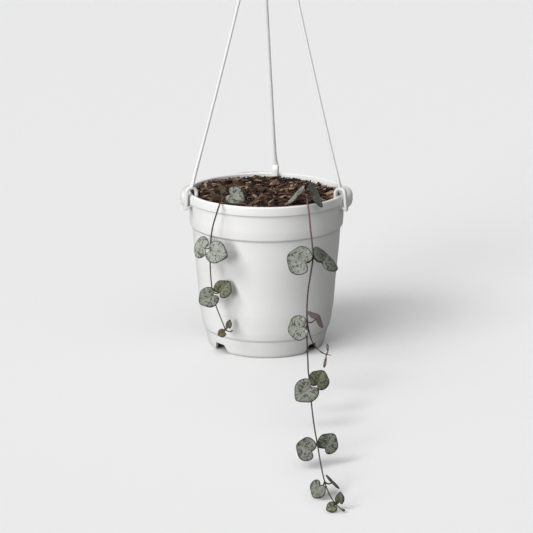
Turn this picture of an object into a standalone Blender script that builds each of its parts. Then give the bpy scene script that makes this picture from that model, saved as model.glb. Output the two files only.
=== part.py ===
"""Potted string of hearts in a white hanging pot that stands on its own feet.

The pot is one moulding with a broad rim, a collar, four feet and three ears.
A three-armed hanger is clipped over the rim.  Two long vines come out of the
soil, cross the rim and trail down, one beside the pot and one out along the
surface in front.  Units are metres, +Z is up, and the front of the pot is -Y.
"""
import math

import bmesh
import bpy
from mathutils import Euler, Matrix, Vector

MM = 0.001

# Where the pot's axis stands: the origin is the middle of the whole plant's footprint.
POT_AXIS = Vector((0.0, 0.151, 0.0))

# Pot, one thin moulding (radius, height), millimetres.
RIM_TOP = 140.0
WALL_INNER = 66.9
BASE_TOP = 15.0
BASE_UNDER = 13.4
POT_STEPS = 56
OUTER_WALL = ((67.8, 140.0), (69.2, 140.0), (70.0, 139.2), (70.0, 132.6), (68.6, 131.4),
              (68.3, 117.0), (67.6, 111.0), (65.7, 109.2), (64.6, 90.0), (61.6, 57.0),
              (60.4, 39.0), (58.3, 23.5), (57.0, 18.6), (55.3, 16.2), (54.7, 12.0),
              (52.5, 3.0), (51.6, 0.0))
FOOT_INSIDE = ((49.4, 0.0), (52.3, 11.4), (51.0, 13.4))
INNER_WALL = ((51.0, 15.0), (53.6, 16.8), (56.6, 23.5), (58.8, 39.3), (60.0, 57.0),
              (63.0, 90.0), (64.1, 109.4), (66.3, 112.4), (66.9, 131.0), (66.9, 139.4))
FOOT_NOTCH_ANGLES = (50.0, 130.0, 230.0, 310.0)
NOTCH_HALF_WIDTH_LOW = 10.8
NOTCH_HALF_WIDTH_HIGH = 5.4
NOTCH_HEIGHT = 8.6
DRAIN_HOLES = 6
DRAIN_HOLE_RADIUS = 4.0
DRAIN_CIRCLE_RADIUS = 36.0
DRAIN_DRILL = 8.0

# Ears: a long domed lug that follows the rim back from each clip, (clip angle, side of the ear).
CLIPS = {"right": (68.0, 1.0), "left": (-71.0, -1.0), "back": (173.0, 1.0)}
EAR_OFFSET_ANGLE = 18.0
EAR_HALF_ANGLE = 20.0
EAR_CENTRE = (66.8, 133.8)
EAR_HALF_SIZE = (9.3, 7.2)
EAR_BOXINESS = 3.2
EAR_CUT_RADIUS = 68.4
EAR_CUT_HEIGHTS = (120.0, 146.0)
CLIP_SLOT_HALF_WIDTH = 3.0
CLIP_SLOT_RADII = (70.6, 84.0)
CLIP_SLOT_HEIGHTS = (116.0, 148.0)

# Soil
SOIL_TOP = 132.0
SOIL_CROWN = 1.2
SOIL_CLEARANCE = 0.4
SOIL_STEPS = 40

# Hanger: three arms, each ending in a flat clip that straddles the rim.
ARM_RADIUS = 1.55
CLIP_WIDTH = 5.0
CLIP_ARCH_CENTRE = (69.1, 142.2)
CLIP_ARCH_OUTER = 5.5
CLIP_ARCH_INNER = 3.2
CLIP_INNER_FOOT = 134.2
CLIP_TIP = ((75.9, 128.4), (75.4, 126.9), (73.2, 127.2), (71.2, 129.6), (71.4, 130.4), (73.4, 130.0))
HUB_HEIGHTS = (399.0, 406.0)
HUB_RADIUS = 9.5
ARM_ENDS = {"right": (6.3, -2.0), "left": (-0.5, -6.0), "back": (-5.2, 4.2)}
ARM_BOW = 1.2
HOOK_SHANK_TOP = 420.0
HOOK_RADIUS = 14.0
HOOK_ROD = 2.0

# Stems: routes from the soil over the rim and down, (x, y, z) in millimetres.
STEM_RADIUS = 0.75
STEM_STEP = 4.4
VINE_RIGHT = ((34.6, -7.0, 133.6), (34.7, -9.0, 136.6), (34.7, -22.0, 139.6), (34.7, -42.0, 141.4),
              (34.7, -57.0, 141.9), (35.0, -66.5, 140.6), (35.8, -71.5, 136.0), (36.9, -74.5, 124.0),
              (38.5, -80.0, 110.0), (39.0, -86.0, 101.3), (36.9, -95.0, 89.5), (34.9, -105.0, 80.8),
              (33.6, -117.0, 72.8), (33.0, -130.0, 65.3), (33.2, -138.0, 60.6), (32.6, -152.0, 54.0),
              (32.8, -178.0, 41.8), (33.0, -190.0, 35.4), (33.9, -200.0, 30.8), (34.5, -222.0, 23.2),
              (35.0, -254.0, 22.0), (35.8, -278.0, 20.7), (36.9, -298.0, 19.0), (38.8, -327.0, 13.5),
              (40.8, -348.0, 9.9), (43.3, -361.0, 7.0), (47.1, -373.0, 5.1), (50.8, -376.8, 2.9),
              (53.6, -378.0, 1.8))
SHOOT_RIGHT = ((33.2, -138.0, 60.6), (34.2, -140.5, 55.6), (35.5, -142.0, 50.5), (37.8, -143.0, 44.4),
               (40.8, -144.0, 40.5), (44.9, -145.0, 37.1), (48.6, -145.5, 35.6), (53.1, -146.0, 34.9))
VINE_LEFT = ((-30.5, -20.0, 133.4), (-31.6, -23.0, 137.4), (-34.4, -33.0, 141.2), (-36.4, -41.0, 142.2),
             (-37.8, -51.0, 142.1), (-38.8, -58.0, 141.8), (-40.2, -64.5, 139.6), (-42.4, -67.5, 133.4),
             (-45.2, -67.0, 123.8), (-47.0, -66.0, 113.3), (-47.6, -65.0, 104.1), (-48.1, -64.0, 92.2),
             (-47.6, -63.0, 76.5), (-46.3, -62.0, 63.6), (-43.9, -62.0, 52.7), (-40.0, -62.5, 41.8),
             (-35.6, -63.0, 30.8), (-33.6, -64.0, 29.2), (-31.6, -65.0, 28.8), (-29.0, -66.0, 30.4))

ROUTES = {"right": VINE_RIGHT, "left": VINE_LEFT, "shoot": SHOOT_RIGHT}

# Leaves.  node: the stem and the route point it grows from; base: where the stalk meets the blade (mm);
# swing: 0 points the tip down, 90 to the left; pitch tips the tip away; roll turns
# the face about the midrib; lean tips the whole face up; width (mm); length factor.
PETIOLE_RADIUS = 0.5
LEAF_THICKNESS = 1.1 * MM
LEAF_SEGMENTS = 18
LEAF_FOLD = 0.12
STALK_GAP = 0.35
LEAVES = {
    "leaf_right_1_left": (("right", 9), (33.2, -93.0, 98.1), 112, 30, 0, 16, 25.0, 1.0),
    "leaf_right_1_right": (("right", 9), (46.4, -91.0, 97.8), -135, 62, 0, 16, 27.2, 1.0),
    "leaf_right_2_left": (("right", 14), (30.2, -156.3, 62.8), 79, 35, 0, 25, 20.6, 1.0),
    "leaf_right_2_right": (("right", 14), (40.0, -136.0, 62.2), -134, 75, 180, 16, 18.8, 1.0),
    "leaf_right_3_left": (("right", 18), (34.4, -223.0, 35.7), 48, 0, 0, 34, 19.6, 1.0),
    "leaf_right_3_right": (("right", 18), (39.4, -193.5, 26.6), -151, 25, 0, 16, 17.2, 1.0),
    "leaf_right_4_left": (("right", 22), (32.8, -302.0, 14.7), 108, 32, 0, 16, 17.6, 1.0),
    "leaf_right_4_right": (("right", 22), (42.4, -295.0, 14.2), -143, 12, 0, 16, 15.8, 1.0),
    "leaf_right_5_left": (("right", 24), (37.5, -354.0, 10.3), 32, 18, -30, 16, 13.4, 1.0),
    "leaf_right_5_right": (("right", 24), (46.0, -347.0, 9.2), -135, 85, 0, 16, 13.8, 1.0),
    "leaf_right_6_left": (("right", 26), (46.3, -376.4, 5.0), 60, 0, 0, 16, 7.8, 1.0),
    "leaf_right_6_right": (("right", 26), (49.8, -374.0, 6.6), -174, 0, 0, 16, 6.6, 1.3),
    "leaf_left_1_left": (("left", 10), (-52.2, -65.0, 103.3), 106, 48, 0, 16, 19.5, 1.0),
    "leaf_left_1_right": (("left", 10), (-47.3, -69.5, 102.8), -69, -20, 0, 16, 19.5, 1.0),
    "leaf_left_2_left": (("left", 13), (-45.4, -67.0, 62.8), 59, 8, 0, 16, 18.0, 1.0),
    "leaf_left_2_right": (("left", 13), (-40.2, -64.5, 64.0), -137, 6, 0, 16, 16.0, 1.0),
    "leaf_left_3_left": (("left", 16), (-36.6, -65.6, 28.6), 66, 0, 0, 16, 7.6, 1.0),
    "leaf_left_3_right": (("left", 16), (-33.0, -62.8, 32.4), -168, 0, 0, 16, 5.4, 1.5),
    "leaf_soil_left_front": (("left", 3), (-31.2, -46.5, 146.2), -68, 0, 0, 16, 17.0, 1.0),
    "leaf_soil_left_back": (("left", 3), (-39.6, -35.0, 146.6), -129, 40, 0, 16, 8.6, 1.1),
    "leaf_soil_left_side": (("left", 3), (-43.0, -42.0, 144.6), 38, 58, 180, 16, 12.0, 1.0),
    "leaf_soil_right_left": (("right", 3), (26.4, -47.5, 144.8), 132, 78, 0, 16, 23.0, 1.0),
    "leaf_soil_right_right": (("right", 3), (39.1, -64.0, 149.6), -113, 66, 0, 24, 24.0, 1.0),
    "leaf_shoot_up": (("shoot", 6), (49.8, -147.0, 38.2), 178, 20, 0, 16, 2.0, 3.6),
    "leaf_shoot_down": (("shoot", 6), (48.4, -149.2, 34.4), 10, 12, 0, 16, 2.6, 4.0),
}
YOUNG_LEAVES = ("leaf_shoot_up", "leaf_shoot_down")


def clear_scene():
    for obj in list(bpy.data.objects):
        bpy.data.objects.remove(obj)


def new_collection(name):
    group = bpy.data.collections.new(name)
    bpy.context.scene.collection.children.link(group)
    return group


clear_scene()
PLANT = new_collection("potted_string_of_hearts")
CUTTERS = new_collection("cutters")
ROOT = bpy.data.objects.new("plant_axis", None)
ROOT.location = POT_AXIS
PLANT.objects.link(ROOT)


def principled(name, colour, roughness):
    material = bpy.data.materials.new(name)
    material.use_nodes = True
    shader = material.node_tree.nodes["Principled BSDF"]
    shader.inputs["Base Color"].default_value = (*colour, 1.0)
    shader.inputs["Roughness"].default_value = roughness
    shader.inputs["Metallic"].default_value = 0.0
    material.diffuse_color = (*colour, 1.0)
    return material


WHITE_PLASTIC = principled("white_plastic", (0.80, 0.80, 0.79), 0.38)
BARK_SOIL = principled("bark_soil", (0.09, 0.05, 0.035), 0.9)
LEAF_GREEN = principled("leaf_green", (0.27, 0.31, 0.23), 0.5)
STEM_PURPLE = principled("stem_purple", (0.16, 0.09, 0.09), 0.6)


def place(obj, material, collection=PLANT):
    """Put an object in its collection under the plant's axis, with its material."""
    collection.objects.link(obj)
    obj.parent = ROOT
    obj.data.materials.clear()
    obj.data.materials.append(material)
    if collection == CUTTERS:
        obj.hide_render = True
        obj.display_type = "WIRE"
    return obj


def smooth(mesh):
    mesh.shade_smooth()
    mesh.set_sharp_from_angle(angle=math.radians(35))


def from_bmesh(name, form):
    mesh = bpy.data.meshes.new(name)
    form.to_mesh(mesh)
    form.free()
    return bpy.data.objects.new(name, mesh)


def turned(name, profile, steps, material, collection=PLANT):
    """Turn an outline of (radius, height) millimetres about the plant's axis."""
    mesh = bpy.data.meshes.new(name)
    points = [(radius * MM, 0.0, height * MM) for radius, height in profile]
    edges = [(index, index + 1) for index in range(len(points) - 1)]
    mesh.from_pydata(points, edges, [])
    obj = place(bpy.data.objects.new(name, mesh), material, collection)
    screw = obj.modifiers.new("turn", "SCREW")
    screw.steps = steps
    screw.render_steps = steps
    screw.use_merge_vertices = True
    screw.merge_threshold = 0.00001
    screw.use_smooth_shade = True
    return obj


def boolean(obj, other, operation):
    modifier = obj.modifiers.new(other.name, "BOOLEAN")
    modifier.operation = operation
    modifier.solver = "EXACT"
    modifier.object = other


def around(angle, radius, height):
    """A point at an angle from the front (-Y) towards the right (+X), millimetres."""
    turn = math.radians(angle)
    return Vector((math.sin(turn) * radius, -math.cos(turn) * radius, height)) * MM


def curve_points(route, step=STEM_STEP):
    """Even points along a smooth curve through the route's own points."""
    points = [Vector(point) for point in route]
    ends = [points[0] * 2 - points[1]] + points + [points[-1] * 2 - points[-2]]
    fine = []
    for before, start, end, after in zip(ends, ends[1:], ends[2:], ends[3:]):
        count = max(1, round((end - start).length / step))
        for index in range(count):
            t = index / count
            fine.append(0.5 * (2 * start + (end - before) * t
                               + (2 * before - 5 * start + 4 * end - after) * t ** 2
                               + (3 * start - before - 3 * end + after) * t ** 3))
    return fine + [points[-1]]


def tube(name, points, radius, resolution=1, ends=1.0):
    """A closed tube mesh object through points in millimetres; ends scales the far tip."""
    curve = bpy.data.curves.new(name, "CURVE")
    curve.dimensions = "3D"
    curve.bevel_depth = radius * MM
    curve.bevel_resolution = resolution
    curve.use_fill_caps = True
    spline = curve.splines.new("POLY")
    spline.points.add(len(points) - 1)
    for index, (target, point) in enumerate(zip(spline.points, points)):
        target.co = (*(Vector(point) * MM), 1.0)
        target.radius = 1.0 + (ends - 1.0) * index / (len(points) - 1)
    guide = bpy.data.objects.new(name + "_curve", curve)
    CUTTERS.objects.link(guide)
    graph = bpy.context.evaluated_depsgraph_get()
    mesh = bpy.data.meshes.new_from_object(guide.evaluated_get(graph))
    form = bmesh.new()
    form.from_mesh(mesh)
    bmesh.ops.remove_doubles(form, verts=form.verts, dist=0.00001)
    bmesh.ops.recalc_face_normals(form, faces=form.faces)
    form.to_mesh(mesh)
    form.free()
    mesh.name = name
    bpy.data.objects.remove(guide)
    return bpy.data.objects.new(name, mesh)


# ---------------------------------------------------------------- pot
def foot_notch(angle):
    """A wedge that opens one gap in the foot ring, wide at the floor, narrow on top."""
    form = bmesh.new()
    bmesh.ops.create_cube(form, size=1.0)
    for vert in form.verts:
        half = NOTCH_HALF_WIDTH_HIGH if vert.co.z > 0 else NOTCH_HALF_WIDTH_LOW
        vert.co = Vector((math.copysign(half, vert.co.x), -40.0 if vert.co.y > 0 else -62.0,
                          NOTCH_HEIGHT if vert.co.z > 0 else -2.0)) * MM
    obj = place(from_bmesh(f"notch_{angle:.0f}", form), WHITE_PLASTIC, CUTTERS)
    obj.rotation_euler = (0.0, 0.0, math.radians(angle))
    return obj


def drain_hole(index):
    form = bmesh.new()
    bmesh.ops.create_cone(form, cap_ends=True, segments=14, radius1=DRAIN_HOLE_RADIUS * MM,
                          radius2=DRAIN_HOLE_RADIUS * MM, depth=DRAIN_DRILL * MM)
    obj = place(from_bmesh(f"drain_hole_{index}", form), WHITE_PLASTIC, CUTTERS)
    obj.location = around(360.0 * index / DRAIN_HOLES, DRAIN_CIRCLE_RADIUS, (BASE_TOP + BASE_UNDER) / 2)
    return obj


def ear(name, clip_angle, side, hollow):
    """A domed lug bent along the rim beside a clip, cut off inside the thickness of the wall."""
    form = bmesh.new()
    bmesh.ops.create_uvsphere(form, u_segments=22, v_segments=11, radius=1.0)
    middle = clip_angle + side * EAR_OFFSET_ANGLE
    for vert in form.verts:
        boxy = sum(abs(value) ** EAR_BOXINESS for value in vert.co) ** (-1 / EAR_BOXINESS)
        vert.co = around(middle + vert.co.x * boxy * EAR_HALF_ANGLE,
                         EAR_CENTRE[0] - vert.co.y * boxy * EAR_HALF_SIZE[0],
                         EAR_CENTRE[1] + vert.co.z * boxy * EAR_HALF_SIZE[1])
    bmesh.ops.recalc_face_normals(form, faces=form.faces)
    obj = place(from_bmesh(f"ear_{name}", form), WHITE_PLASTIC, CUTTERS)
    boolean(obj, hollow, "DIFFERENCE")
    return obj


def clip_slot(name, angle):
    """The gap in an ear that the clip's outer leg drops into."""
    form = bmesh.new()
    bmesh.ops.create_cube(form, size=1.0)
    near, far = CLIP_SLOT_RADII
    for vert in form.verts:
        vert.co = Vector((math.copysign(CLIP_SLOT_HALF_WIDTH, vert.co.x),
                          -near if vert.co.y > 0 else -far,
                          CLIP_SLOT_HEIGHTS[1] if vert.co.z > 0 else CLIP_SLOT_HEIGHTS[0])) * MM
    obj = place(from_bmesh(f"clip_slot_{name}", form), WHITE_PLASTIC, CUTTERS)
    obj.rotation_euler = (0.0, 0.0, math.radians(angle))
    return obj


def ear_cut():
    """A plug as wide as the middle of the rim's wall, which the ears stop at."""
    low, high = EAR_CUT_HEIGHTS
    plug = ((0.0, high), (EAR_CUT_RADIUS, high), (EAR_CUT_RADIUS, low), (0.0, low))
    return turned("ear_cut", plug, POT_STEPS, WHITE_PLASTIC, CUTTERS)


def build_pot():
    profile = ((0.0, BASE_TOP),) + INNER_WALL + OUTER_WALL + FOOT_INSIDE + ((0.0, BASE_UNDER),)
    pot = turned("pot", profile, POT_STEPS, WHITE_PLASTIC)
    hollow = ear_cut()
    for name, (angle, side) in CLIPS.items():
        boolean(pot, ear(name, angle, side, hollow), "UNION")
        boolean(pot, clip_slot(name, angle), "DIFFERENCE")
    for angle in FOOT_NOTCH_ANGLES:
        boolean(pot, foot_notch(angle), "DIFFERENCE")
    for index in range(DRAIN_HOLES):
        boolean(pot, drain_hole(index), "DIFFERENCE")


def build_soil():
    """The soil fills the pot from its base to just under the rim, a little proud in the middle."""
    side = [(radius - SOIL_CLEARANCE, height) for radius, height in INNER_WALL if height < SOIL_TOP]
    side[0] = (side[0][0], BASE_TOP + SOIL_CLEARANCE)
    top = [(0.0, SOIL_TOP + SOIL_CROWN), (36.0, SOIL_TOP + SOIL_CROWN * 0.7),
           (WALL_INNER - SOIL_CLEARANCE, SOIL_TOP)]
    turned("soil", top + side[::-1] + [(0.0, BASE_TOP + SOIL_CLEARANCE)], SOIL_STEPS, BARK_SOIL)


# ---------------------------------------------------------------- hanger
def clip_outline():
    """The clip from the side: (radius, height) points of a strip bent over the rim."""
    radius, height = CLIP_ARCH_CENTRE
    arc = [math.radians(angle) for angle in range(180, -1, -20)]
    outer = [(radius + CLIP_ARCH_OUTER * math.cos(a), height + CLIP_ARCH_OUTER * math.sin(a)) for a in arc]
    inner = [(radius + CLIP_ARCH_INNER * math.cos(a), height + CLIP_ARCH_INNER * math.sin(a)) for a in arc]
    left_foot = [(radius - CLIP_ARCH_INNER, CLIP_INNER_FOOT), (radius - CLIP_ARCH_OUTER, CLIP_INNER_FOOT)]
    return outer + list(CLIP_TIP) + inner[::-1] + left_foot


def clip(name, angle):
    """The strip's outline, filled and extruded to the clip's width."""
    outline = clip_outline()
    curve = bpy.data.curves.new(name, "CURVE")
    curve.dimensions = "2D"
    curve.fill_mode = "BOTH"
    curve.extrude = CLIP_WIDTH / 2 * MM
    spline = curve.splines.new("POLY")
    spline.points.add(len(outline) - 1)
    spline.use_cyclic_u = True
    for target, (radius, height) in zip(spline.points, outline):
        target.co = (radius * MM, height * MM, 0.0, 1.0)
    guide = bpy.data.objects.new(name + "_outline", curve)
    CUTTERS.objects.link(guide)
    graph = bpy.context.evaluated_depsgraph_get()
    mesh = bpy.data.meshes.new_from_object(guide.evaluated_get(graph))
    form = bmesh.new()
    form.from_mesh(mesh)
    bmesh.ops.remove_doubles(form, verts=form.verts, dist=0.00001)
    upright = Euler((math.radians(90), 0.0, math.radians(angle - 90)), "XYZ").to_matrix()
    bmesh.ops.rotate(form, verts=form.verts, cent=(0, 0, 0), matrix=upright)
    bmesh.ops.recalc_face_normals(form, faces=form.faces)
    form.to_mesh(mesh)
    form.free()
    mesh.name = name
    bpy.data.objects.remove(guide)
    return bpy.data.objects.new(name, mesh)


def arm_route(name, angle):
    """From inside the clip's arch up to the hub, bowed a little towards the middle."""
    radius, height = CLIP_ARCH_CENTRE
    start = around(angle, radius, height + 4.4) / MM
    end = Vector((*ARM_ENDS[name], HUB_HEIGHTS[0] - 0.9))
    points = []
    for index in range(9):
        t = index / 8
        bow = ARM_BOW * 4 * t * (1 - t)
        point = start.lerp(end, t)
        inward = Vector((-point.x, -point.y, 0.0)).normalized()
        points.append(point + inward * bow)
    return points


def build_hanger():
    for name, (angle, _side) in CLIPS.items():
        arm = place(tube(f"hanger_arm_{name}", arm_route(name, angle), ARM_RADIUS, 2), WHITE_PLASTIC)
        smooth(arm.data)
        foot = place(clip(f"clip_{name}", angle), WHITE_PLASTIC, CUTTERS)
        boolean(arm, foot, "UNION")
    low, high = HUB_HEIGHTS
    profile = ((0.0, high + 2.0), (3.4, high + 1.8), (7.4, high), (HUB_RADIUS, high - 1.8),
               (HUB_RADIUS, low + 1.2), (HUB_RADIUS - 1.2, low), (0.0, low))
    hook = turned("hanger_hook", profile, 32, WHITE_PLASTIC)
    centre = Vector((0.0, 0.0, HOOK_SHANK_TOP + HOOK_RADIUS))
    rod = [(0.0, 0.0, high), (0.0, 0.0, (high + HOOK_SHANK_TOP) / 2)]
    for angle in range(-90, 136, 15):
        turn = math.radians(angle)
        rod.append(centre + Vector((math.cos(turn), 0.0, math.sin(turn))) * HOOK_RADIUS)
    boolean(hook, place(tube("hook_rod", rod, HOOK_ROD, 2), WHITE_PLASTIC, CUTTERS), "UNION")


# ---------------------------------------------------------------- stems
def build_stems():
    right = place(tube("vine_right", curve_points(VINE_RIGHT), STEM_RADIUS, ends=0.6), STEM_PURPLE)
    shoot = tube("shoot_right", curve_points(SHOOT_RIGHT), STEM_RADIUS * 0.8, ends=0.5)
    boolean(right, place(shoot, STEM_PURPLE, CUTTERS), "UNION")
    left = place(tube("vine_left", curve_points(VINE_LEFT), STEM_RADIUS, ends=0.6), STEM_PURPLE)
    smooth(right.data)
    smooth(left.data)


# ---------------------------------------------------------------- leaves
def heart_radius(turn, young):
    """Edge of a heart blade from its middle, half the width as 1; turn is 0 at the tip.

    A young blade that is still opening is a plain lens without the notch.
    """
    tip = 0.12 * math.exp(-(turn / 0.34) ** 2)
    notch = 0.50 * math.exp(-((math.pi - abs(turn)) / 0.36) ** 2)
    return 1.0 + tip if young else 1.0 + tip - notch


def blade(name, width, length_factor):
    """An open heart sheet with its stalk point at the origin and its tip down -Z."""
    half = width / 2 * MM
    young = name in YOUNG_LEAVES
    centre_drop = heart_radius(math.pi, young) * half * length_factor
    form = bmesh.new()
    middle = form.verts.new((0.0, 0.0, -centre_drop))
    edge = []
    for segment in range(LEAF_SEGMENTS):
        turn = math.tau * segment / LEAF_SEGMENTS - math.pi
        reach = heart_radius(turn, young) * half
        x = math.sin(turn) * reach
        z = -centre_drop - math.cos(turn) * reach * length_factor
        edge.append(form.verts.new((x, -LEAF_FOLD * abs(x), z)))
    for segment in range(LEAF_SEGMENTS):
        after = (segment + 1) % LEAF_SEGMENTS
        form.faces.new((middle, edge[segment], edge[after]))
    bmesh.ops.recalc_face_normals(form, faces=form.faces)
    return from_bmesh(name, form)


def facing(swing, pitch, roll, lean):
    """Turn of a blade from its four plain angles, in degrees."""
    return (Matrix.Rotation(math.radians(-lean), 3, "X") @ Matrix.Rotation(math.radians(swing), 3, "Y")
            @ Matrix.Rotation(math.radians(pitch), 3, "X") @ Matrix.Rotation(math.radians(roll), 3, "Z"))


def petiole_route(node, base, tip_way):
    """A leaf stalk: off the stem's side, a shallow droop, then into the blade's notch."""
    stem, index = ROUTES[node[0]], node[1]
    along = (Vector(stem[index + 1]) - Vector(stem[index - 1])).normalized()
    base = Vector(base)
    away = base - Vector(stem[index])
    away = (away - along * away.dot(along)).normalized()
    start = Vector(stem[index]) + away * (STEM_RADIUS + PETIOLE_RADIUS + STALK_GAP)
    sag = Vector((0.0, 0.0, -0.18)) * (base - start).length
    inside = base + tip_way * 1.2
    middle = start.lerp(base, 0.5) + sag
    return [start, start.lerp(middle, 0.5) + sag * 0.25, middle, middle.lerp(base, 0.5) + sag * 0.1,
            base, inside]


def build_leaf(name, node, base, swing, pitch, roll, lean, width, length_factor):
    turn = facing(swing, pitch, roll, lean)
    leaf = place(blade(name, width, length_factor), LEAF_GREEN)
    leaf.location = Vector(base) * MM
    leaf.rotation_euler = turn.to_euler()
    smooth(leaf.data)
    thick = leaf.modifiers.new("thickness", "SOLIDIFY")
    thick.thickness = LEAF_THICKNESS
    thick.offset = 0.0
    stalk = tube(name + "_stalk", petiole_route(node, base, turn @ Vector((0, 0, -1))), PETIOLE_RADIUS)
    boolean(leaf, place(stalk, LEAF_GREEN, CUTTERS), "UNION")


build_pot()
build_soil()
build_hanger()
build_stems()
for leaf_name, settings in LEAVES.items():
    build_leaf(leaf_name, *settings)
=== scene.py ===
import math
import random

import bmesh
import bpy
from mathutils import Matrix, Vector, noise


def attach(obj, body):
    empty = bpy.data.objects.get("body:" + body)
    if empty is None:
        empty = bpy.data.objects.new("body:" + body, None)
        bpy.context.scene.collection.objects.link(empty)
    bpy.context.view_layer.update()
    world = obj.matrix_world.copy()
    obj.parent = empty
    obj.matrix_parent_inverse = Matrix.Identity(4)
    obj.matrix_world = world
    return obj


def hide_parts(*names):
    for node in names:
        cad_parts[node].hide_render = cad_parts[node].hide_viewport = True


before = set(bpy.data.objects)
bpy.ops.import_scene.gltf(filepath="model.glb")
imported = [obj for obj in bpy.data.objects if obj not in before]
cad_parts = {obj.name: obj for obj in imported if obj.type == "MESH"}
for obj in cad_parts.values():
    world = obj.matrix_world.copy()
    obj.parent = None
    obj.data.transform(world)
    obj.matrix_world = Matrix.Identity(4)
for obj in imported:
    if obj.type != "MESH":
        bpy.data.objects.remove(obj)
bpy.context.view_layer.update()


# ------------------------------------------------------------------ Viewpoint
# A long lens looks down a little on the standing pot, far enough back that the
# upright sides stay nearly parallel.  The pot is in the middle and its trailing
# stem runs towards the viewer.
eye = bpy.data.cameras.new("eye")
eye.sensor_width = 36.0
eye.lens = 109.76
eye.clip_start = 0.05
eye.clip_end = 40.0
viewpoint = bpy.data.objects.new("viewpoint", eye)
viewpoint.location = (0.0, -1.249, 0.461)
viewpoint.rotation_euler = (math.radians(74.36), 0.0, 0.0)
bpy.context.scene.collection.objects.link(viewpoint)
bpy.context.scene.camera = viewpoint
bpy.context.scene.view_settings.view_transform = "Standard"
bpy.context.scene.view_settings.look = "None"


# ------------------------------------------------------------------------ Pot
# One thin injection moulding in white polypropylene with a satin skin: a broad rim
# band and a collar above a tapering wall, a foot ring with four gaps that narrow
# upwards, and three long domed ears, each beside a slot for one of the hanger's clips.
MM = 0.001
POT_AXIS = Vector((0.0, 0.151, 0.0))
POT_STEPS = 192
BASE_TOP = 15.0
BASE_UNDER = 13.4
# (radius, height, rounding) down the inside, over the rim and down the outside, millimetres
INSIDE_WALL = ((51.0, 15.0, 0.8), (53.6, 16.8, 1.5), (56.6, 23.5, 4.0), (58.8, 39.3, 8.0), (60.0, 57.0, 8.0),
               (63.0, 90.0, 8.0), (64.1, 109.4, 1.2), (66.3, 112.4, 1.2), (66.9, 131.0, 6.0),
               (66.9, 140.0, 1.1))
OUTSIDE_WALL = ((70.0, 140.0, 1.7), (70.0, 132.1, 0.8), (68.4, 131.4, 0.3), (68.2, 117.0, 6.0),
                (67.7, 110.2, 1.7), (65.7, 108.2, 1.2), (64.6, 90.0, 10.0), (61.6, 57.0, 10.0),
                (60.4, 39.0, 8.0), (58.3, 23.5, 6.0), (57.0, 17.6, 1.6), (55.3, 15.2, 1.0),
                (54.7, 12.0, 2.0), (52.6, 3.0, 2.0), (52.0, 1.3, 0.4), (50.8, 0.0, 0.2))
FOOT_INSIDE = ((49.4, 0.0, 0.5), (52.3, 11.4, 1.0), (51.0, 13.4, 0.6))
FOOT_GAPS = (50.0, 130.0, 230.0, 310.0)
GAP_HALF_LOW = 10.8
GAP_HALF_HIGH = 5.4
GAP_HEIGHT = 8.0
GAP_BELOW = -2.0
GAP_RADII = (40.0, 62.0)
DRAIN_HOLES = 6
DRAIN_RADIUS = 4.0
DRAIN_CIRCLE = 36.0
DRILL_LENGTH = 8.0
DRILL_MIDDLE = 14.0
# clip name: angle from the front towards the right, and the side its ear is on
CLIPS = {"right": (68.0, 1.0), "left": (-71.0, -1.0), "back": (173.0, 1.0)}
EAR_ANGLE = 18.0
EAR_HALF_ANGLE = 20.0
EAR_CENTRE = (66.8, 133.8)
EAR_HALF_SIZE = (9.3, 7.2)
EAR_BOXINESS = 3.2
EAR_CUT = 68.4
EAR_CUT_HEIGHTS = (116.0, 150.0)
SLOT_HALF = 3.0
SLOT_RADII = (70.6, 84.0)
SLOT_HEIGHTS = (116.0, 148.0)


def feed(tree, node, **inputs):
    """Link each socket that is given for an input, and set anything else on the input itself."""
    for key, value in inputs.items():
        if key.startswith("i") and key[1:].isdigit():
            socket = node.inputs[int(key[1:])]
        else:
            socket = node.inputs[key.replace("_", " ")]
        if isinstance(value, bpy.types.NodeSocket):
            tree.links.new(value, socket)
        else:
            socket.default_value = value


def wire(tree, kind, settings=None, **inputs):
    """Add a node with its settings and feed its inputs."""
    node = tree.nodes.new(kind)
    for key, value in (settings or {}).items():
        setattr(node, key, value)
    feed(tree, node, **inputs)
    return node


def bare_material(name):
    """A material with only its Principled shader and output."""
    material = bpy.data.materials.new(name)
    material.use_nodes = True
    tree = material.node_tree
    return material, tree, tree.nodes["Principled BSDF"]


def ramp(tree, amount, stops):
    """A colour that an amount picks from (place, colour) stops."""
    node = wire(tree, "ShaderNodeValToRGB", Fac=amount)
    points = node.color_ramp.elements
    while len(points) < len(stops):
        points.new(0.5)
    for point, (place, colour) in zip(points, stops):
        point.position = place
        point.color = (*colour, 1.0)
    return node.outputs["Color"]


def white_plastic():
    """Satin white polypropylene: faint cloudiness, soft moulded grain and a dull sheen."""
    material, tree, shader = bare_material("white_plastic")
    spot = wire(tree, "ShaderNodeTexCoord").outputs["Object"]
    cloud = wire(tree, "ShaderNodeTexNoise", Vector=spot, Scale=22.0, Detail=3.0, Roughness=0.55)
    grain = wire(tree, "ShaderNodeTexNoise", Vector=spot, Scale=1500.0, Detail=2.0, Roughness=0.6)
    flow = wire(tree, "ShaderNodeTexNoise", Vector=spot, Scale=60.0, Detail=2.0, Roughness=0.5)
    tone = ramp(tree, cloud.outputs["Fac"], ((0.3, (0.795, 0.795, 0.782)), (0.7, (0.825, 0.825, 0.815))))
    satin = wire(tree, "ShaderNodeMapRange", Value=flow.outputs["Fac"], From_Min=0.3, From_Max=0.7,
                 To_Min=0.34, To_Max=0.46)
    skin = wire(tree, "ShaderNodeBump", Strength=0.10, Distance=0.00012, Height=grain.outputs["Fac"])
    feed(tree, shader, Base_Color=tone, Roughness=satin.outputs["Result"], Normal=skin.outputs["Normal"],
         Specular_IOR_Level=0.42)
    return material


WHITE = white_plastic()


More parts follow.
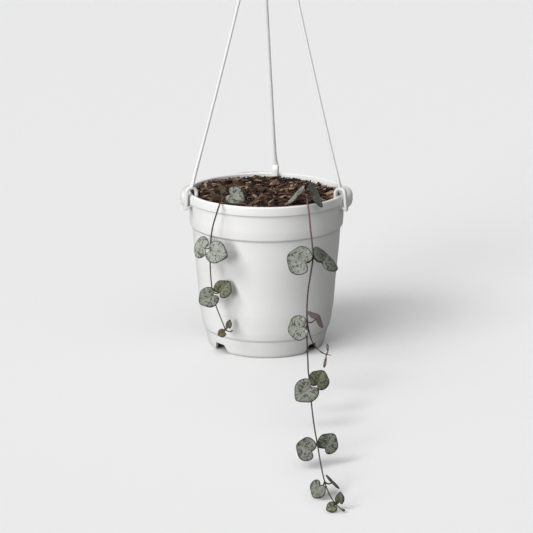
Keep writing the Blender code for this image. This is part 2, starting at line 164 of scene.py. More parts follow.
def rounded(corners, per_corner=5):
    """Swap each inner corner of an outline for a small arc of its own rounding."""
    result = [corners[0][:2]]
    for before, here, after in zip(corners, corners[1:], corners[2:]):
        point = Vector(here[:2])
        back = Vector(before[:2]) - point
        ahead = Vector(after[:2]) - point
        turn = math.pi - back.angle(ahead)
        reach = min(here[2] * math.tan(turn / 2), back.length * 0.45, ahead.length * 0.45)
        start = point + back.normalized() * reach
        end = point + ahead.normalized() * reach
        for index in range(per_corner + 1):
            t = index / per_corner
            result.append(tuple(start * (1 - t) ** 2 + point * 2 * t * (1 - t) + end * t ** 2))
    return result + [corners[-1][:2]]


def spun(outline, steps):
    """Spin an outline of (radius, height) millimetres about the pot's axis into a bmesh.

    It is laid ring by ring, so its verts and faces come in the same order every time.
    """
    form = bmesh.new()
    rings = []
    for radius, height in outline:
        turns = [math.tau * index / steps for index in range(steps if radius > 0 else 1)]
        rings.append([form.verts.new(Vector((radius * math.cos(turn), radius * math.sin(turn), height)) * MM)
                      for turn in turns])
    for first, second in zip(rings, rings[1:]):
        for index in range(steps):
            after = (index + 1) % steps
            corners = (first[index % len(first)], second[index % len(second)],
                       second[after % len(second)], first[after % len(first)])
            form.faces.new(tuple(dict.fromkeys(corners)))
    return form


def turned(name, outline, steps, material=None):
    """A closed outline spun about the pot's axis, as an object."""
    form = spun(outline, steps)
    bmesh.ops.recalc_face_normals(form, faces=form.faces)
    return piece_from(name, form, material)


def piece_from(name, form, material=None):
    """An object made from a bmesh, in the scene and with its finish on."""
    mesh = bpy.data.meshes.new(name)
    form.to_mesh(mesh)
    form.free()
    piece = bpy.data.objects.new(name, mesh)
    bpy.context.scene.collection.objects.link(piece)
    mesh.materials.append(material or WHITE)
    return piece


def cut_or_join(piece, tool, operation):
    """Boolean a throwaway tool into a piece and remove the tool."""
    step = piece.modifiers.new(operation.lower(), "BOOLEAN")
    step.operation = operation
    step.solver = "EXACT"
    step.object = tool
    settle(piece)
    bpy.data.objects.remove(tool)


def settle(piece):
    """Turn a piece's live modifiers into plain mesh."""
    graph = bpy.context.evaluated_depsgraph_get()
    made = bpy.data.meshes.new_from_object(piece.evaluated_get(graph))
    old = piece.data
    piece.modifiers.clear()
    piece.data = made
    bpy.data.meshes.remove(old)
    made.name = piece.name


def set_down(piece, slot, *nodes, angle=35.0):
    """Move a finished piece from the pot's axis to its place and tie it to the frame."""
    piece.data.transform(Matrix.Translation(POT_AXIS))
    piece.data.shade_smooth()
    piece.data.set_sharp_from_angle(angle=math.radians(angle))
    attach(piece, "root")
    if nodes:
        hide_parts(*nodes)


def around(angle, radius, height):
    """A point at an angle from the front towards the right, millimetres."""
    turn = math.radians(angle)
    return Vector((math.sin(turn) * radius, -math.cos(turn) * radius, height))


def block(name, size_at, angle):
    """A wedge whose corners come from size_at(x sign, y sign, z sign), turned to an angle."""
    form = bmesh.new()
    bmesh.ops.create_cube(form, size=1.0)
    for vert in form.verts:
        vert.co = Vector(size_at(*(math.copysign(1.0, value) for value in vert.co))) * MM
    bmesh.ops.rotate(form, verts=form.verts, cent=(0, 0, 0),
                     matrix=Matrix.Rotation(math.radians(angle), 3, "Z"))
    return piece_from(name, form)


def foot_gap_corner(x, y, z):
    """A corner of the wedge that leaves a gap in the foot ring, narrower at its top."""
    near, far = GAP_RADII
    half = GAP_HALF_HIGH if z > 0 else GAP_HALF_LOW
    return x * half, -near if y > 0 else -far, GAP_HEIGHT if z > 0 else GAP_BELOW


def clip_slot_corner(x, y, z):
    """A corner of the block that cuts the slot for a clip's outer leg."""
    near, far = SLOT_RADII
    low, high = SLOT_HEIGHTS
    return x * SLOT_HALF, -near if y > 0 else -far, high if z > 0 else low


def domed_ear(angle):
    """A long domed lug that follows the rim, cut off inside the thickness of the wall."""
    form = bmesh.new()
    bmesh.ops.create_uvsphere(form, u_segments=64, v_segments=36, radius=1.0)
    for vert in form.verts:
        boxy = sum(abs(value) ** EAR_BOXINESS for value in vert.co) ** (-1 / EAR_BOXINESS)
        along, out, up = vert.co.x * boxy, -vert.co.y * boxy, vert.co.z * boxy
        vert.co = around(angle + along * EAR_HALF_ANGLE, EAR_CENTRE[0] + out * EAR_HALF_SIZE[0],
                         EAR_CENTRE[1] + up * EAR_HALF_SIZE[1]) * MM
    bmesh.ops.recalc_face_normals(form, faces=form.faces)
    ear = piece_from("ear", form)
    low, high = EAR_CUT_HEIGHTS
    plug = turned("ear_plug", ((0.0, high), (EAR_CUT, high), (EAR_CUT, low), (0.0, low)), POT_STEPS)
    cut_or_join(ear, plug, "DIFFERENCE")
    return ear


def build_pot():
    """The whole moulding: turned wall and base, ears, clip slots, foot gaps and drain holes."""
    outline = rounded(((0.0, BASE_TOP, 0.0),) + INSIDE_WALL + OUTSIDE_WALL + FOOT_INSIDE
                      + ((0.0, BASE_UNDER, 0.0),))
    pot = turned("pot_moulding", outline, POT_STEPS)
    for angle, side in CLIPS.values():
        cut_or_join(pot, domed_ear(angle + side * EAR_ANGLE), "UNION")
        cut_or_join(pot, block("slot", clip_slot_corner, angle), "DIFFERENCE")
    for angle in FOOT_GAPS:
        cut_or_join(pot, block("gap", foot_gap_corner, angle), "DIFFERENCE")
    for index in range(DRAIN_HOLES):
        form = bmesh.new()
        bmesh.ops.create_cone(form, cap_ends=True, segments=32, radius1=DRAIN_RADIUS * MM,
                              radius2=DRAIN_RADIUS * MM, depth=DRILL_LENGTH * MM)
        bmesh.ops.translate(form, verts=form.verts,
                            vec=around(360.0 * index / DRAIN_HOLES, DRAIN_CIRCLE, DRILL_MIDDLE) * MM)
        cut_or_join(pot, piece_from("drill", form), "DIFFERENCE")
    set_down(pot, "white_plastic", "pot")


build_pot()


# ----------------------------------------------------------------------- Soil
# A coarse potting mix of dark shredded bark: a lumpy bed that fills the pot to
# just under the rim, with slivers and flakes of bark lying on it every way.
SOIL_TOP = 133.5
SOIL_CLEAR = 0.35
SOIL_EDGE_DIP = 0.5
SOIL_FALL = 0.026
# height in millimetres and closeness of the broad and of the small lumps
LUMPS = ((2.2, 0.07), (1.0, 0.21))
BED_STEPS = 72
# the bed's tone, near black: partly the damp mix's own colour, partly painted shade for the gaps between the
# flakes
BED_DAMP_AND_GAP_SHADE = 0.05
GROUND_STEPS = 48
CHIP_SHAPES = 7
CHIP_REACH = 63.0
CRUMB_SHAPES = 3
CRUMB_REACH = 64.0
CRUMB_SEED = 40
FLAKE_SEED = 400
# how dark or dry the bark is, up to BARK_SPAN, and its colour there
BARK_SPAN = 1.3
BARK_COLOURS = ((0.20, (0.007, 0.005, 0.004)), (0.52, (0.020, 0.012, 0.009)), (0.78, (0.055, 0.028, 0.019)),
                (1.00, (0.125, 0.068, 0.044)), (1.14, (0.34, 0.225, 0.145)))


def measure(tree, name, output="Fac"):
    """A measurement that the mesh carries under a name."""
    return wire(tree, "ShaderNodeAttribute", {"attribute_name": name}).outputs[output]


def bark_finish():
    """Damp shredded bark, red-brown to tan on the dry flakes and near black at its darkest; the bed is set
    there, as damp bark and as painted shade in the gaps.
    """
    material, tree, shader = bare_material("bark_soil")
    spot = wire(tree, "ShaderNodeTexCoord").outputs["Object"]
    shade = measure(tree, "bark_shade")
    fibre = wire(tree, "ShaderNodeTexNoise", Vector=spot, Scale=900.0, Detail=3.0, Roughness=0.65)
    patch = wire(tree, "ShaderNodeTexNoise", Vector=spot, Scale=170.0, Detail=2.0, Roughness=0.5)
    mixed = wire(tree, "ShaderNodeMath", {"operation": "MULTIPLY_ADD"}, i0=patch.outputs["Fac"], i1=0.34,
                 i2=shade)
    fine = wire(tree, "ShaderNodeMath", {"operation": "MULTIPLY_ADD"}, i0=fibre.outputs["Fac"], i1=0.22,
                i2=mixed.outputs[0])
    scaled = wire(tree, "ShaderNodeMath", {"operation": "MULTIPLY"}, i0=fine.outputs[0], i1=1 / BARK_SPAN)
    colour = ramp(tree, scaled.outputs[0], [(place / BARK_SPAN, dye) for place, dye in BARK_COLOURS])
    rough = wire(tree, "ShaderNodeMapRange", Value=patch.outputs["Fac"], From_Min=0.3, From_Max=0.7,
                 To_Min=0.62, To_Max=0.92)
    relief = wire(tree, "ShaderNodeBump", Strength=0.55, Distance=0.0006, Height=fibre.outputs["Fac"])
    feed(tree, shader, Base_Color=colour, Roughness=rough.outputs["Result"],
         Normal=relief.outputs["Normal"], Specular_IOR_Level=0.2)
    return material


BARK = bark_finish()


def lumps(spot):
    """How far the surface of the mix rises or dips at a spot, in millimetres."""
    broad, small = (height * noise.noise(spot * closeness) for height, closeness in LUMPS)
    return 1.0 - SOIL_FALL * spot.x + broad + small


def rumple(verts):
    """Give verts of the soil's surface the rise and fall of the mix."""
    for vert in verts:
        vert.co.z += lumps(vert.co / MM) * MM


def build_bed():
    """The lumpy body of the mix, closed, shaped to the inside of the pot."""
    side = [(radius - SOIL_CLEAR, height) for radius, height, _ in INSIDE_WALL if height < SOIL_TOP]
    side[0] = (side[0][0], BASE_TOP + SOIL_CLEAR)
    crown = [(6.0 * ring, SOIL_TOP) for ring in range(11)]
    crown.append((INSIDE_WALL[-1][0] - SOIL_CLEAR, SOIL_TOP - SOIL_EDGE_DIP))
    outline = crown + side[::-1] + [(0.0, BASE_TOP + SOIL_CLEAR)]
    bed = turned("potting_bed", outline, BED_STEPS, BARK)
    edge = (SOIL_TOP - SOIL_EDGE_DIP / 2) * MM
    rumple(vert for vert in bed.data.vertices if vert.co.z > edge)
    # the whole bed is set near black: damp bark, and painted shade where it shows between the flakes
    shade = bed.data.attributes.new("bark_shade", "FLOAT", "POINT")
    for item in shade.data:
        item.value = BED_DAMP_AND_GAP_SHADE
    return bed


def skin(form, loops):
    """Join rings of verts into a tube that is closed at both ends."""
    for first, second in zip(loops, loops[1:]):
        for side in range(len(first)):
            after = (side + 1) % len(first)
            form.faces.new((first[side], first[after], second[after], second[side]))
    form.faces.new(loops[0][::-1])
    form.faces.new(loops[-1])


def flake(name, index, long, wide, thick, rings, sides):
    """One splinter of bark: a bent, ragged, flattened sliver with pinched ends."""
    luck = random.Random(FLAKE_SEED + index)
    form = bmesh.new()
    loops = []
    bend = luck.uniform(-0.22, 0.22)
    for ring in range(rings):
        t = ring / (rings - 1) * 2 - 1
        girth = (1 - abs(t) ** 3 * luck.uniform(0.45, 0.85)) * luck.uniform(0.75, 1.1)
        loop = []
        for side in range(sides):
            angle = math.tau * side / sides + luck.uniform(-0.25, 0.25)
            x = t * long / 2 + luck.uniform(-0.06, 0.06) * long
            y = math.cos(angle) * wide / 2 * girth + bend * wide * t * t
            z = math.sin(angle) * thick / 2 * girth * luck.uniform(0.7, 1.2)
            loop.append(form.verts.new(Vector((x, y, z)) * MM))
        loops.append(loop)
    skin(form, loops)
    bmesh.ops.recalc_face_normals(form, faces=form.faces)
    mesh = bpy.data.meshes.new(f"{name}_{index}")
    form.to_mesh(mesh)
    form.free()
    return bpy.data.objects.new(f"{name}_{index}", mesh)


def scatter_tree():
    """Geometry nodes that strew a collection of shapes over a surface, each turned its own way."""
    tree = bpy.data.node_groups.new("strewn_bark", "GeometryNodeTree")
    ports = tree.interface
    ports.new_socket("Surface", in_out="INPUT", socket_type="NodeSocketGeometry")
    ports.new_socket("Shapes", in_out="INPUT", socket_type="NodeSocketCollection")
    for name in ("Spacing", "Smallest", "Largest", "Tilt", "Lift", "Darkest", "Lightest"):
        ports.new_socket(name, in_out="INPUT", socket_type="NodeSocketFloat")
    ports.new_socket("Seed", in_out="INPUT", socket_type="NodeSocketInt")
    ports.new_socket("Finish", in_out="INPUT", socket_type="NodeSocketMaterial")
    ports.new_socket("Bark", in_out="OUTPUT", socket_type="NodeSocketGeometry")
    given = wire(tree, "NodeGroupInput").outputs

    def chance(offset, low, high):
        seed = wire(tree, "ShaderNodeMath", {"operation": "ADD"}, i0=given["Seed"], i1=float(offset))
        return wire(tree, "FunctionNodeRandomValue", {"data_type": "FLOAT"}, i2=low, i3=high,
                    Seed=seed.outputs[0]).outputs[1]

    points = wire(tree, "GeometryNodeDistributePointsOnFaces", {"distribute_method": "POISSON"},
                  Mesh=given["Surface"], Distance_Min=given["Spacing"], Density_Max=900000.0,
                  Seed=given["Seed"])
    rise = wire(tree, "ShaderNodeCombineXYZ", Z=chance(3, 0.0, given["Lift"]))
    raised = wire(tree, "GeometryNodeSetPosition", Geometry=points.outputs["Points"],
                  Offset=rise.outputs[0])
    below = wire(tree, "ShaderNodeMath", {"operation": "MULTIPLY"}, i0=given["Tilt"], i1=-1.0)
    turn = wire(tree, "ShaderNodeCombineXYZ",
                X=chance(5, below.outputs[0], given["Tilt"]),
                Y=chance(7, below.outputs[0], given["Tilt"]),
                Z=chance(9, 0.0, math.tau))
    shapes = wire(tree, "GeometryNodeCollectionInfo", Collection=given["Shapes"], Separate_Children=True,
                  Reset_Children=True)
    strewn = wire(tree, "GeometryNodeInstanceOnPoints", Points=raised.outputs["Geometry"],
                  Instance=shapes.outputs["Instances"], Pick_Instance=True, Rotation=turn.outputs[0],
                  Scale=chance(11, given["Smallest"], given["Largest"]))
    toned = wire(tree, "GeometryNodeStoreNamedAttribute", {"data_type": "FLOAT", "domain": "INSTANCE"},
                 Geometry=strewn.outputs["Instances"], Name="bark_shade",
                 Value=chance(13, given["Darkest"], given["Lightest"]))
    real = wire(tree, "GeometryNodeRealizeInstances", Geometry=toned.outputs["Geometry"])
    finished = wire(tree, "GeometryNodeSetMaterial", Geometry=real.outputs["Geometry"],
                    Material=given["Finish"])
    wire(tree, "NodeGroupOutput", Bark=finished.outputs["Geometry"])
    return tree


STREWN = scatter_tree()


def strew(name, shapes, reach, **values):
    """Run the scatter over the soil's surface out to a radius and keep the result as plain mesh."""
    rings = [(radius, SOIL_TOP + 1.0) for radius in (0.0, 10.0, 20.0, 30.0, 40.0, 50.0, reach)]
    form = spun(rings, GROUND_STEPS)
    rumple(form.verts)
    ground = piece_from(name, form, BARK)
    bag = bpy.data.collections.new(name + "_shapes")
    for shape in shapes:
        bag.objects.link(shape)
    step = ground.modifiers.new("strew", "NODES")
    step.node_group = STREWN
    ids = {item.name: item.identifier for item in STREWN.interface.items_tree if item.in_out == "INPUT"}
    step[ids["Shapes"]] = bag
    step[ids["Finish"]] = BARK
    for key, value in values.items():
        step[ids[key]] = value
    settle(ground)
    for shape in shapes:
        bpy.data.objects.remove(shape)
    bpy.data.collections.remove(bag)
    return ground


def build_soil():
    """The bed, then long chips and small crumbs strewn over it."""
    bed = build_bed()
    long_flakes = [flake("chip", index, long=7.0 + index, wide=3.0 + (index % 3) * 1.4,
                         thick=1.1 + (index % 2) * 0.6, rings=5, sides=6)
                   for index in range(CHIP_SHAPES)]
    chips = strew("bark_chips", long_flakes, CHIP_REACH, Spacing=0.0030, Smallest=0.5, Largest=1.2,
                  Tilt=0.4, Lift=0.0022, Darkest=0.02, Lightest=0.94, Seed=4)
    short_flakes = [flake("crumb", CRUMB_SEED + index, long=2.6 + index * 0.8, wide=1.5, thick=1.1,
                          rings=3, sides=5)
                    for index in range(CRUMB_SHAPES)]
    crumbs = strew("bark_crumbs", short_flakes, CRUMB_REACH, Spacing=0.0017, Smallest=0.6, Largest=1.3,
                   Tilt=1.2, Lift=0.0016, Darkest=0.0, Lightest=0.55, Seed=21)
    for piece in (bed, chips, crumbs):
        set_down(piece, "bark_soil", "soil", angle=30.0)


build_soil()


# --------------------------------------------------------------------- Hanger
# Three slim white plastic rods, each moulded in one with a flat clip that bends
# over the rim.  The rods meet under a small round hub with an open hook on top.
ARM_RADIUS = 1.55
ARM_STEPS = 40
ARM_BOW = 1.2
ARM_ABOVE_ARCH = 3.6
ARM_IN_HUB = 0.6
# the rod is a little thicker and flatter just above its clip
ARM_SLIM, ARM_SLIM_RISE = 0.80, 30.0
ARM_FLARE, ARM_FLARE_RISE = 1.15, 7.0
CLIP_WIDTH = 5.0
CLIP_EASE = 0.45
CLIP_ARCH_CENTRE = (69.1, 142.2)
CLIP_ARCH_OUTER = 5.5
CLIP_ARCH_INNER = 3.2
CLIP_INNER_FOOT = 134.2
CLIP_TIP = ((75.9, 128.4), (75.4, 126.9), (73.2, 127.2), (71.2, 129.6), (71.4, 130.4), (73.4, 130.0))
HUB_HEIGHTS = (399.0, 406.0)
HUB_RADIUS = 9.5
ARM_ENDS = {"right": (6.3, -2.0), "left": (-0.5, -6.0), "back": (-5.2, 4.2)}
HOOK_SHANK_TOP = 420.0
HOOK_RADIUS = 14.0
HOOK_ROD = 2.0
HOOK_TURN = range(-90, 136, 9)


def swept(form, points, radii, sides=14, flat=None):
    """Sweep a round section along points (mm) with a radius for each, closed at both ends.

    flat gives a direction and, for each point, how much wider the section is that way.
    """
    spots = [Vector(point) for point in points]
    last = len(spots) - 1
    ways = [(spots[min(i + 1, last)] - spots[max(i - 1, 0)]).normalized() for i in range(last + 1)]
    turns = [math.tau * side / sides for side in range(sides)]
    side_way = ways[0].orthogonal().normalized()
    loops = []
    for index, (spot, way, radius) in enumerate(zip(spots, ways, radii)):
        side_way = (side_way - way * side_way.dot(way)).normalized()
        other = way.cross(side_way)
        if flat is not None:
            across = (flat[0] - way * flat[0].dot(way)).normalized()
            thin = way.cross(across)
            share = flat[1][index]
            loop = [form.verts.new((spot + across * math.cos(a) * (radius + share)
                                    + thin * math.sin(a) * radius) * MM) for a in turns]
        else:
            loop = [form.verts.new((spot + (side_way * math.cos(a) + other * math.sin(a)) * radius) * MM)
                    for a in turns]
        loops.append(loop)
    skin(form, loops)
    return loops


def clip_outline():
    """The clip from the side: (radius, height) points of a strip bent over the rim."""
    radius, height = CLIP_ARCH_CENTRE

    def arch(reach):
        turns = [math.radians(angle) for angle in range(180, -1, -10)]
        return [(radius + reach * math.cos(turn), height + reach * math.sin(turn)) for turn in turns]

    foot = [(radius - CLIP_ARCH_INNER, CLIP_INNER_FOOT), (radius - CLIP_ARCH_OUTER, CLIP_INNER_FOOT)]
    return arch(CLIP_ARCH_OUTER) + list(CLIP_TIP) + arch(CLIP_ARCH_INNER)[::-1] + foot


def bent_clip(angle):
    """The strip's outline given its width, with its long edges eased."""
    form = bmesh.new()
    half = CLIP_WIDTH / 2
    near = [form.verts.new(Vector((half, -radius, height)) * MM) for radius, height in clip_outline()]
    face = form.faces.new(near)
    made = bmesh.ops.extrude_face_region(form, geom=[face])
    moved = [item for item in made["geom"] if isinstance(item, bmesh.types.BMVert)]
    bmesh.ops.translate(form, verts=moved, vec=(-CLIP_WIDTH * MM, 0, 0))
    bmesh.ops.recalc_face_normals(form, faces=form.faces)
    rims = [edge for edge in form.edges
            if abs(edge.verts[0].co.x - edge.verts[1].co.x) < 0.0001]
    bmesh.ops.bevel(form, geom=rims, offset=CLIP_EASE * MM, segments=2, profile=0.5, affect="EDGES")
    bmesh.ops.rotate(form, verts=form.verts, cent=(0, 0, 0),
                     matrix=Matrix.Rotation(math.radians(angle), 3, "Z"))
    return piece_from("clip", form)


def build_arm(name, angle):
    """One rod from its clip up to the hub, bowed a little inwards, with the clip joined on."""
    radius, height = CLIP_ARCH_CENTRE
    start = around(angle, radius, height + ARM_ABOVE_ARCH)
    end = Vector((*ARM_ENDS[name], HUB_HEIGHTS[0] + ARM_IN_HUB))
    points, radii, spread = [], [], []
    for index in range(ARM_STEPS + 1):
        t = (index / ARM_STEPS) ** 1.5
        point = start.lerp(end, t)
        inward = Vector((-point.x, -point.y, 0.0)).normalized()
        points.append(point + inward * ARM_BOW * 4 * t * (1 - t))
        rise = (end - start).length * t
        radii.append(ARM_RADIUS * (ARM_SLIM + (1 - ARM_SLIM) * math.exp(-rise / ARM_SLIM_RISE)))
        spread.append(ARM_FLARE * math.exp(-(rise / ARM_FLARE_RISE) ** 2))
    tangent = around(angle + 90.0, 1.0, 0.0)
    form = bmesh.new()
    swept(form, points, radii, 16, flat=(tangent, spread))
    bmesh.ops.recalc_face_normals(form, faces=form.faces)
    arm = piece_from(f"hanger_rod_{name}", form)
    cut_or_join(arm, bent_clip(angle), "UNION")
    set_down(arm, "white_plastic", f"hanger_arm_{name}", angle=40.0)


def build_hub():
    """The domed hub and the open hook, a rod that is thicker where it leaves the hub."""
    low, high = HUB_HEIGHTS
    outline = rounded(((0.0, high + 2.0, 0), (3.4, high + 1.8, 1.0), (7.4, high + 0.4, 2.0),
                       (HUB_RADIUS, high - 1.8, 1.2), (HUB_RADIUS, low, 1.2), (0.0, low, 0)))
    hub = turned("hanger_hub", outline, 64)
    centre = Vector((0.0, 0.0, HOOK_SHANK_TOP + HOOK_RADIUS))
    rod = [Vector((0.0, 0.0, high + step)) for step in (0.0, 4.0, 8.0)]
    for degrees in HOOK_TURN:
        turn = math.radians(degrees)
        rod.append(centre + Vector((math.cos(turn), 0.0, math.sin(turn))) * HOOK_RADIUS)
    radii = [HOOK_ROD + 0.9, HOOK_ROD + 0.3] + [HOOK_ROD] * (len(rod) - 3) + [HOOK_ROD * 0.8]
    form = bmesh.new()
    swept(form, rod, radii, 20)
    bmesh.ops.recalc_face_normals(form, faces=form.faces)
    cut_or_join(hub, piece_from("hook", form), "UNION")
    set_down(hub, "white_plastic", "hanger_hook")


for clip_name, (clip_angle, _side) in CLIPS.items():
    build_arm(clip_name, clip_angle)
build_hub()


# ---------------------------------------------------------------------- Vines
# Wiry round stems, pink-mauve where they leave the soil and purple-brown lower
# down, a little swollen at each joint where a pair of leaves comes off.  The
# longer one arches out over the ground in front and carries a young side shoot.
STEM_RADIUS = 0.75
VINE_RIGHT = ((34.6, -7.0, 132.0), (34.7, -9.0, 136.6), (34.7, -22.0, 139.6), (34.7, -42.0, 141.4),
              (34.7, -57.0, 141.9), (35.0, -66.5, 140.9), (35.8, -71.5, 136.0), (36.9, -74.5, 124.0),
              (38.5, -80.0, 110.0), (39.0, -86.0, 101.3), (36.9, -95.0, 89.5), (34.9, -105.0, 80.8),
              (33.6, -117.0, 72.8), (33.0, -130.0, 65.3), (33.2, -138.0, 60.6), (32.6, -152.0, 54.0),
              (32.8, -178.0, 41.8), (33.0, -190.0, 35.4), (33.9, -200.0, 30.8), (34.5, -222.0, 23.2),
              (35.0, -254.0, 22.0), (35.8, -278.0, 20.7), (36.9, -298.0, 19.0), (38.8, -327.0, 13.5),
              (40.8, -348.0, 9.9), (43.3, -361.0, 7.0), (47.1, -373.0, 5.1), (50.8, -376.8, 2.9),
              (53.6, -378.0, 1.8))
SHOOT_RIGHT = ((33.2, -138.0, 60.6), (34.2, -140.5, 55.6), (35.5, -142.0, 50.5), (37.8, -143.0, 44.4),
               (40.8, -144.0, 40.5), (44.9, -145.0, 37.1), (48.6, -145.5, 35.6), (53.1, -146.0, 34.9))
VINE_LEFT = ((-30.5, -20.0, 132.0), (-31.6, -23.0, 137.4), (-34.4, -33.0, 141.2), (-36.4, -41.0, 142.2),
             (-37.8, -51.0, 142.1), (-38.8, -58.0, 141.8), (-40.2, -64.5, 139.9), (-42.4, -67.5, 133.4),
             (-45.2, -67.0, 123.8), (-47.0, -66.0, 113.3), (-47.6, -65.0, 104.1), (-48.1, -64.0, 92.2),
             (-47.6, -63.0, 76.5), (-46.3, -62.0, 63.6), (-43.9, -62.0, 52.7), (-40.0, -62.5, 41.8),
             (-35.6, -63.0, 30.8), (-33.6, -64.0, 29.2), (-31.6, -65.0, 28.8), (-29.0, -66.0, 30.4))
ROUTES = {"right": VINE_RIGHT, "left": VINE_LEFT, "shoot": SHOOT_RIGHT}
JOINTS = {"right": (3, 9, 14, 18, 22, 24, 26), "left": (3, 10, 13, 16)}
JOINT_SWELL = 0.55
JOINT_LENGTH = 1.7
BUD_LENGTH = 1.2
STEM_WOBBLE = 0.10
# share of the way along the stem, and the skin's colour there
STEM_COLOURS = ((0.06, (0.29, 0.17, 0.16)), (0.22, (0.16, 0.088, 0.088)), (0.34, (0.055, 0.032, 0.032)),
                (0.75, (0.034, 0.026, 0.024)), (1.0, (0.050, 0.040, 0.034)))


def stem_finish():
    """Stem skin: mauve near the soil, purple-brown below, darker at the joints, faintly streaked."""
    material, tree, shader = bare_material("vine_stem")
    way, knot = measure(tree, "along_stem"), measure(tree, "joint")
    spot = wire(tree, "ShaderNodeTexCoord").outputs["Object"]
    streak = wire(tree, "ShaderNodeTexNoise", Vector=spot, Scale=420.0, Detail=3.0, Roughness=0.6)
    drift = wire(tree, "ShaderNodeMath", {"operation": "MULTIPLY_ADD"}, i0=streak.outputs["Fac"], i1=0.16,
                 i2=way)
    dark = wire(tree, "ShaderNodeMix", {"data_type": "RGBA"}, i0=knot,
                i6=ramp(tree, drift.outputs[0], STEM_COLOURS), i7=(0.035, 0.022, 0.024, 1.0))
    relief = wire(tree, "ShaderNodeBump", Strength=0.3, Distance=0.0002, Height=streak.outputs["Fac"])
    feed(tree, shader, Base_Color=dark.outputs[2], Roughness=0.48, Normal=relief.outputs["Normal"])
    return material


STEM = stem_finish()


def smooth_route(route, step):
    """Even points along a smooth curve through a route's points, and where those stand among them."""
    points = [Vector(point) for point in route]
    ends = [points[0] * 2 - points[1]] + points + [points[-1] * 2 - points[-2]]
    fine, marks = [], []
    for before, start, end, after in zip(ends, ends[1:], ends[2:], ends[3:]):
        marks.append(len(fine))
        count = max(1, round((end - start).length / step))
        for index in range(count):
            t = index / count
            fine.append(0.5 * (2 * start + (end - before) * t
                               + (2 * before - 5 * start + 4 * end - after) * t ** 2
                               + (3 * start - before - 3 * end + after) * t ** 3))
    marks.append(len(fine))
    return fine + [points[-1]], marks


def grow_stem(form, route, radius, tip, joints, ramp_from=0.0, ramp_to=1.0, bud=0.0):
    """One stem with swollen joints, tapering to its tip; notes how far along each ring is."""
    points, marks = smooth_route(route, 1.0)
    last = len(points) - 1
    radii, swells = [], []
    for index, point in enumerate(points):
        swell = sum(math.exp(-((index - marks[joint]) / JOINT_LENGTH) ** 2) for joint in joints)
        wobble = 1 + STEM_WOBBLE * noise.noise(point * 0.35)
        radii.append(radius * (1 + (tip - 1) * index / last) * wobble * (1 + JOINT_SWELL * swell))
        radii[-1] += bud * math.exp(-((last - BUD_LENGTH - index) / BUD_LENGTH) ** 2)
        swells.append(min(1.0, swell))
    radii[-1] *= 0.5
    way = form.verts.layers.float["along_stem"]
    knot = form.verts.layers.float["joint"]
    for index, loop in enumerate(swept(form, points, radii, 10)):
        for vert in loop:
            vert[way] = ramp_from + (ramp_to - ramp_from) * index / last
            vert[knot] = swells[index]


def measured_form(numbers, vectors=()):
    """An empty bmesh whose verts carry named measurements that the finishes read."""
    form = bmesh.new()
    for name in vectors:
        form.verts.layers.float_vector.new(name)
    for name in numbers:
        form.verts.layers.float.new(name)
    return form


def build_vines():
    """The right stem with its side shoot in one mesh, and the left stem in another."""
    form = measured_form(("along_stem", "joint"))
    grow_stem(form, VINE_RIGHT, STEM_RADIUS, 0.6, JOINTS["right"], bud=0.55)
    grow_stem(form, SHOOT_RIGHT, STEM_RADIUS * 0.8, 0.45, (5,), 0.35, 0.9)
    right = piece_from("trailing_stem_right", form, STEM)
    form = measured_form(("along_stem", "joint"))
    grow_stem(form, VINE_LEFT, STEM_RADIUS, 0.6, JOINTS["left"], 0.05, 0.9, bud=0.25)
    left = piece_from("trailing_stem_left", form, STEM)
    set_down(right, "vine_stem", "vine_right", angle=60.0)
    set_down(left, "vine_stem", "vine_left", angle=60.0)


build_vines()


# --------------------------------------------------------------------- Leaves
# Small thick heart-shaped leaves in opposite pairs on thin reddish stalks: the
# face silvery sage with dark green dashes in from a dark margin and blotches each
# side of the midrib, the underside dusky mauve.  Young end leaves are bronze.
LEAF_THICK = 1.15
LEAF_RINGS = (0.16, 0.32, 0.48, 0.62, 0.74, 0.84, 0.91, 0.96, 0.99, 1.0)
LEAF_AROUND = 64
# curl of the margin and of the tip as shares of half the width, groove along the midrib in mm
MARGIN_CURL = 0.045
TIP_CURL = 0.05
GROOVE_DEPTH, GROOVE_HALF = 0.16, 0.55
STALK_RADIUS = 0.5
STALK_FLARE, STALK_START, STALK_END, STALK_PIN = 1.4, 1.15, 0.85, 0.35
STALK_SAG = 0.18
RIB_COLOUR = (0.42, 0.44, 0.36, 1.0)


